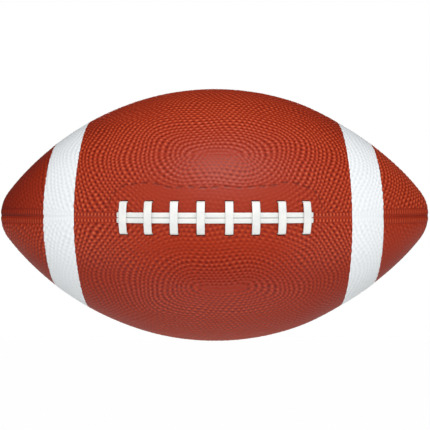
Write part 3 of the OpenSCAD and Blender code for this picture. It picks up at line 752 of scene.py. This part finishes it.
def lace_piece():
    """The lace as one closed band: a section with rounded corners carried along the threaded route.
    Its top is crowned by a hair, and where it runs over the cover it is a little wider."""
    p = lace_route()
    moved = np.linalg.norm(np.diff(p[:, :3], axis=0), axis=1) > LEAST_STEP
    p = p[np.concatenate([[True], moved])]
    angle = p[:, 0] / BELLY_R
    radius = BELLY_C + (BELLY_R + p[:, 2]) * np.cos(angle)
    y = -np.sqrt(radius**2 - p[:, 1] ** 2)
    middle = np.stack([(BELLY_R + p[:, 2]) * np.sin(angle), y, p[:, 1]], -1)
    ahead = unit(np.concatenate([middle[1:], middle[-1:]])
                 - np.concatenate([middle[:1], middle[:-1]]))
    zero = np.zeros_like(y)
    along = unit(np.stack([np.cos(angle), -np.sin(angle) * radius / y, zero], -1))
    across = unit(np.stack([zero, -p[:, 1] / y, zero + 1], -1))
    wide = p[:, 3:4] * along + p[:, 4:5] * across
    wide = unit(wide - (wide * ahead).sum(1, keepdims=True) * ahead)
    up = np.cross(ahead, wide)

    run = np.exp(-((p[:, 2:3] - RAIL_H) / RUN_FADE) ** 2) * (p[:, 5:6] == RAIL_W)
    half_w, half_t = p[:, 5:6] / 2 + RUN_EASE * run, p[:, 6:7] / 2
    corner = np.radians(np.linspace(0, 90, CORNER_STEPS))[None]
    w_right = half_w - LACE_BEVEL + LACE_BEVEL * np.cos(corner)
    t_up = half_t - LACE_BEVEL + LACE_BEVEL * np.sin(corner)
    flat = half_w * np.array([[FLAT_SHARE, 0, -FLAT_SHARE]])
    w = np.concatenate([w_right, flat, -w_right[:, ::-1], -w_right, -flat, w_right[:, ::-1]], 1)
    top, base = half_t + CROWN * CROWN_SHAPE, np.repeat(-half_t, 3, 1)
    t = np.concatenate([t_up, top, t_up[:, ::-1], -t_up, base, -t_up[:, ::-1]], 1)
    rings = middle[:, None] + w[..., None] * wide[:, None] + t[..., None] * up[:, None]

    count, n = rings.shape[:2]
    i = np.arange(count * n).reshape(count, n)
    j = np.roll(i, -1, 1)
    quad = np.stack([i[:-1], j[:-1], j[1:], i[1:]], -1).reshape(-1, 4)
    lid = np.arange(1, n - 1)
    caps = [np.stack([0 * lid, lid + 1, lid], -1),
            np.stack([0 * lid, lid, lid + 1], -1) + (count - 1) * n]
    faces = np.concatenate([quad[:, [0, 1, 2]], quad[:, [0, 2, 3]]] + caps)
    return add_mesh("hand_threaded_lace", rings.reshape(-1, 3), faces, {"across": w.ravel()},
                    sharp=50)


# ---------------------------------------------------------------- materials
# Object coordinates are in metres, so the scales of noise and bands are per metre. In a colour mix
# input 0 is the factor and inputs 6 and 7 are the two colours, and output 2 is the mix.
COLOUR_MIX = {"data_type": "RGBA"}


def linear(code):
    """An sRGB hex colour as linear values with full alpha."""
    v = np.array([int(code[i:i + 2], 16) for i in (1, 3, 5)]) / 255
    v = np.where(v <= 0.04045, v / 12.92, ((v + 0.055) / 1.055) ** 2.4)
    return (*[float(x) for x in v], 1.0)


def set_stops(bands, stops):
    """Gives a colour ramp its stops, (place, sRGB hex) each."""
    while len(bands.elements) < len(stops):
        bands.elements.new(0.5)
    for element, (place, code) in zip(bands.elements, stops):
        element.position = place
        element.color = linear(code)


def add_node(tree, kind, settings=None, **links):
    """Adds a node. settings holds its properties, its unlinked inputs by name or place and a colour
    ramp's stops; links go from sockets to its inputs, whose names have underscores for spaces, or a
    number after 'in' for their place."""
    node = tree.nodes.new(kind)
    for key, value in (settings or {}).items():
        if key == "stops":
            set_stops(node.color_ramp, value)
        elif isinstance(key, int) or key in node.inputs:
            node.inputs[key].default_value = value
        else:
            setattr(node, key, value)
    for key, socket in links.items():
        place = int(key[2:]) if key[:2] == "in" and key[2:].isdigit() else key.replace("_", " ")
        tree.links.new(socket, node.inputs[place])
    return node


def new_material(name, **principled):
    """An empty material with one Principled shader, whose plain values are set on its own
    sockets."""
    material = bpy.data.materials.new(name)
    material.use_nodes = True
    shader = material.node_tree.nodes["Principled BSDF"]
    for key, value in principled.items():
        shader.inputs[key.replace("_", " ")].default_value = value
    return material, material.node_tree, shader


def finish_material(tree, shader, colour, height, strength, depth_mm):
    """Links a colour to the shader and a height as grain finer than the mesh."""
    tree.links.new(colour, shader.inputs["Base Color"])
    bump = add_node(tree, "ShaderNodeBump", {"Strength": strength, "Distance": depth_mm * MM},
                    Height=height)
    tree.links.new(bump.outputs["Normal"], shader.inputs["Normal"])


def cover_rubber():
    """Composition rubber, moulded: satin, its colour from the tone, so its pits are darker than its
    pebbles with painted shade, the pebbles' inner flanks and the seam bars carry painted
    highlights, and painted shade lies along the seams, towards the top seam, in the dashed grooves
    and in the holes; with a faint cloudiness of about 36 mm and a fine grain of 0.56 mm, which its
    finer octaves take down to 0.14 mm."""
    material, tree, shader = new_material("moulded composition rubber", IOR=1.5,
                                          Specular_IOR_Level=0.2)
    place = add_node(tree, "ShaderNodeTexCoord").outputs["Object"]
    tone, groove, depth = (
        add_node(tree, "ShaderNodeAttribute", {"attribute_name": name}).outputs["Fac"]
        for name in ("tone", "groove", "depth"))
    cloud = add_node(tree, "ShaderNodeTexNoise", {"Scale": 28.0, "Detail": 4.0, "Roughness": 0.6},
                     Vector=place).outputs["Fac"]
    # The tone ramp, from painted shade in the pits (0) to painted highlights on the flanks (1)
    base = add_node(tree, "ShaderNodeValToRGB", {"stops": [
        (0.0, "#200000"), (0.28, "#640E00"), (0.55, "#98290C"), (1.0, "#DA643C")]},
        in0=tone).outputs["Color"]
    tint = add_node(tree, "ShaderNodeValToRGB", {"stops": [(0.3, "#8E2007"), (0.7, "#98280A")]},
                    in0=cloud).outputs["Color"]
    base = add_node(tree, "ShaderNodeMix", {**COLOUR_MIX, 0: 0.2}, in6=base, in7=tint).outputs[2]
    # Painted shade: the dashed grooves and the floors of the holes darkened
    for share, code in ((groove, "#641604"), (depth, "#2C0C05")):
        base = add_node(tree, "ShaderNodeMix", {**COLOUR_MIX, 7: linear(code)},
                        in0=share, in6=base).outputs[2]
    grain = add_node(tree, "ShaderNodeTexNoise", {"Scale": 1800.0, "Detail": 3.0}, Vector=place)
    finish_material(tree, shader, base, grain.outputs["Fac"], 0.25, 0.12)
    rough = add_node(tree, "ShaderNodeMapRange", {"To Min": 0.35, "To Max": 0.45}, Value=cloud)
    tree.links.new(rough.outputs["Result"], shader.inputs["Roughness"])
    return material


def stripe_paint():
    """Flexible white enamel sprayed on the pebbles: satin, a trace greyer in the pits and lighter
    on the pebbles' inner flanks, as painted shade and painted highlight from the cover's tone, with
    clouds of about 17 mm and a grain of 0.67 mm."""
    material, tree, shader = new_material("sprayed flexible white enamel", IOR=1.5, Roughness=0.42)
    place = add_node(tree, "ShaderNodeTexCoord").outputs["Object"]
    relief = add_node(tree, "ShaderNodeAttribute", {"attribute_name": "relief"}).outputs["Fac"]
    # The ramp turns the tone into painted shade in the pits and a painted highlight on the flanks
    base = add_node(tree, "ShaderNodeValToRGB", {"stops": [
        (0.0, "#CAD0D5"), (0.5, "#DDE1E4"), (1.0, "#ECEEF0")]}, in0=relief).outputs["Color"]
    cloud = add_node(tree, "ShaderNodeTexNoise", {"Scale": 60.0, "Detail": 3.0}, Vector=place)
    tint = add_node(tree, "ShaderNodeValToRGB", {"stops": [(0.3, "#E8ECEE"), (0.7, "#F0F2F3")]},
                    in0=cloud.outputs["Fac"]).outputs["Color"]
    base = add_node(tree, "ShaderNodeMix", {**COLOUR_MIX, 0: 0.3}, in6=base, in7=tint).outputs[2]
    grain = add_node(tree, "ShaderNodeTexNoise", {"Scale": 1500.0, "Detail": 2.0}, Vector=place)
    finish_material(tree, shader, base, grain.outputs["Fac"], 0.15, 0.1)
    return material


def lace_vinyl():
    """Extruded white vinyl: smooth and satin, with faint draw lines along the lace, 0.7 mm apart or
    9 radians to the millimetre across it, and a little grey in patches of about 6 mm where hands
    have rubbed it."""
    material, tree, shader = new_material("extruded white vinyl", IOR=1.53, Roughness=0.38)
    place = add_node(tree, "ShaderNodeTexCoord").outputs["Object"]
    across = add_node(tree, "ShaderNodeAttribute", {"attribute_name": "across"}).outputs["Fac"]
    cloud = add_node(tree, "ShaderNodeTexNoise", {"Scale": 180.0, "Detail": 4.0},
                     Vector=place).outputs["Fac"]
    base = add_node(tree, "ShaderNodeValToRGB", {"stops": [
        (0.3, "#D3D5D3"), (0.55, "#DCDDDA"), (0.75, "#E2E1DD")]}, in0=cloud).outputs["Color"]
    turn = add_node(tree, "ShaderNodeMath", {"operation": "MULTIPLY", 1: 9.0}, in0=across)
    lines = add_node(tree, "ShaderNodeMath", {"operation": "SINE"}, in0=turn.outputs[0])
    height = add_node(tree, "ShaderNodeMath", {"operation": "ADD"}, in0=lines.outputs[0], in1=cloud)
    finish_material(tree, shader, base, height.outputs[0], 0.2, 0.06)
    return material


def inner_rubber(name, low, high, per_metre, roughness):
    """Rubber of the hidden layers: a cloudy colour and a grain at the given scale per metre."""
    material, tree, shader = new_material(name, IOR=1.5, Roughness=roughness)
    place = add_node(tree, "ShaderNodeTexCoord").outputs["Object"]
    cloud = add_node(tree, "ShaderNodeTexNoise", {"Scale": per_metre, "Detail": 4.0},
                     Vector=place).outputs["Fac"]
    base = add_node(tree, "ShaderNodeValToRGB", {"stops": [(0.3, low), (0.7, high)]}, in0=cloud)
    finish_material(tree, shader, base.outputs["Color"], cloud, 0.2, 0.2)
    return material


def wound_nylon():
    """Nylon thread set in latex: fine crossing bands of about 0.5 mm, cream and matt."""
    material, tree, shader = new_material("nylon thread set in latex", IOR=1.53, Roughness=0.65)
    place = add_node(tree, "ShaderNodeTexCoord").outputs["Object"]
    bands = {"Scale": 320.0, "Distortion": 1.5, "Detail": 2.0}
    heights = []
    for turn in (0.6, -0.6):
        turned = add_node(tree, "ShaderNodeMapping", {"Rotation": (0.4, turn, turn)}, Vector=place)
        wave = add_node(tree, "ShaderNodeTexWave", bands, Vector=turned.outputs["Vector"])
        heights.append(wave.outputs["Fac"])
    both = add_node(tree, "ShaderNodeMath", {"operation": "MAXIMUM"}, in0=heights[0],
                    in1=heights[1]).outputs[0]
    base = add_node(tree, "ShaderNodeValToRGB", {"stops": [(0.2, "#A89F88"), (0.9, "#DED7C4")]},
                    in0=both)
    finish_material(tree, shader, base.outputs["Color"], both, 0.5, 0.3)
    return material


# ---------------------------------------------------------------- camera, floor, light, in metres
CAMERA_AWAY, VIEW_WIDTH, SENSOR, CAMERA_LIFT = 0.5, 0.2835, 36.0, math.radians(1.2)
FLOOR_HALF, FLOOR_Z = 6.0, -1.2
# Strength of the room light by the Y of its direction: weak behind the ball, full behind the camera
ROOM_LIGHT = {"From Min": 0.3, "From Max": -0.9, "To Min": 0.08, "To Max": 1.1}
# Share of the floor's look to the camera that is plain white paper, the rest takes the shadow
PAPER_GLOW = 0.985
# Soft boxes: place, width and height, watts
SOFT_BOXES = {
    "key soft box": ((0.08, -0.92, 0.74), (0.6, 0.4), 7.4),
    "low left soft box": ((-0.95, -0.6, -0.6), (0.5, 0.5), 1.7),
    "low right soft box": ((0.95, -0.6, -0.6), (0.5, 0.5), 2.0),
    "low fill": ((0.0, -0.3, -1.0), (1.2, 0.4), 2.6),
    "back soft box": ((0.0, 1.05, 0.2), (0.6, 0.4), 6.5),
}


def set_camera(scene):
    """Camera at the photograph's angle."""
    camera = bpy.data.objects.new("camera", bpy.data.cameras.new("camera"))
    scene.collection.objects.link(camera)
    scene.camera = camera
    camera.data.sensor_width = SENSOR
    camera.data.lens = SENSOR * CAMERA_AWAY / VIEW_WIDTH
    camera.data.clip_start = 0.01
    camera.location = (0, -CAMERA_AWAY * math.cos(CAMERA_LIFT), CAMERA_AWAY * math.sin(CAMERA_LIFT))
    camera.rotation_euler = (QUARTER - CAMERA_LIFT, 0, 0)
    scene.view_settings.view_transform = "Standard"


def set_world(scene):
    """Room light that is full behind the camera and weak behind the ball, white to the camera."""
    world = bpy.data.worlds.new("studio")
    scene.world = world
    world.use_nodes = True
    tree = world.node_tree
    back = tree.nodes["Background"]
    back.inputs["Color"].default_value = (1, 1, 1, 1)
    way = add_node(tree, "ShaderNodeTexCoord").outputs["Generated"]
    toward = add_node(tree, "ShaderNodeSeparateXYZ", Vector=way).outputs["Y"]
    room = add_node(tree, "ShaderNodeMapRange", ROOM_LIGHT, Value=toward).outputs["Result"]
    seen = add_node(tree, "ShaderNodeLightPath").outputs["Is Camera Ray"]
    strength = add_node(tree, "ShaderNodeMath", {"operation": "MAXIMUM"}, in0=room, in1=seen)
    tree.links.new(strength.outputs[0], back.inputs["Strength"])


def add_floor(scene):
    """A pale floor well below the held ball."""
    ground = bpy.data.meshes.new("floor")
    corners = [(x * FLOOR_HALF, y * FLOOR_HALF, FLOOR_Z)
               for x, y in ((-1, -1), (1, -1), (1, 1), (-1, 1))]
    ground.from_pydata(corners, [], [(0, 1, 2, 3)])
    floor = bpy.data.objects.new("floor", ground)
    scene.collection.objects.link(floor)
    paper, tree, shader = new_material("white paper sweep", Roughness=0.9)
    shader.inputs["Base Color"].default_value = linear("#F4F4F2")
    light = add_node(tree, "ShaderNodeEmission", {"Color": (1, 1, 1, 1), "Strength": 1.0})
    seen = add_node(tree, "ShaderNodeLightPath").outputs["Is Camera Ray"]
    fade = add_node(tree, "ShaderNodeMath", {"operation": "MULTIPLY", 1: PAPER_GLOW}, in0=seen)
    mix = add_node(tree, "ShaderNodeMixShader", in0=fade.outputs[0], in1=shader.outputs[0],
                   in2=light.outputs[0])
    tree.links.new(mix.outputs[0], tree.nodes["Material Output"].inputs["Surface"])
    ground.materials.append(paper)


def add_soft_box(scene, name, place, size, power):
    """An area lamp that faces the ball."""
    data = bpy.data.lights.new(name, "AREA")
    data.shape, data.energy = "RECTANGLE", power
    data.size, data.size_y = size
    lamp = bpy.data.objects.new(name, data)
    lamp.location = place
    lamp.rotation_euler = (-Vector(place)).to_track_quat("-Z", "Y").to_euler()
    scene.collection.objects.link(lamp)


set_camera(bpy.context.scene)
set_world(bpy.context.scene)
add_floor(bpy.context.scene)
for label, lamp in SOFT_BOXES.items():
    add_soft_box(bpy.context.scene, label, *lamp)

cover = cover_rubber()
for label, side_y, side_z in (("front_upper", -1, 1), ("front_lower", -1, -1),
                              ("back_upper", 1, 1), ("back_lower", 1, -1)):
    panel = cover_panel("cover_" + label, side_y, side_z)
    finish_piece(panel, cover, "cover_rubber", "panel_" + label)
paint = stripe_paint()
for label, side_x in (("left", -1), ("right", 1)):
    stripe = stripe_piece("painted_stripe_" + label, side_x)
    finish_piece(stripe, paint, "stripe_paint", "stripe_" + label)
finish_piece(lace_piece(), lace_vinyl(), "lace_rubber", "lace")

for node, material in {
    "bladder": inner_rubber("butyl rubber", "#1E1C1B", "#2C2927", 90.0, 0.5),
    "winding": wound_nylon(),
    "carcass": inner_rubber("calendered brown rubber", "#4A3C33", "#63534A", 140.0, 0.6),
    "lace_pad": inner_rubber("moulded brown rubber", "#6B2C1D", "#85392A", 200.0, 0.55),
    "valve_housing": inner_rubber("moulded black rubber", "#171615", "#24211F", 400.0, 0.45),
    "valve_plug": inner_rubber("soft dark rubber", "#35302D", "#453F3B", 500.0, 0.6),
}.items():
    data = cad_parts[node].data
    data.materials.clear()
    data.materials.append(material)
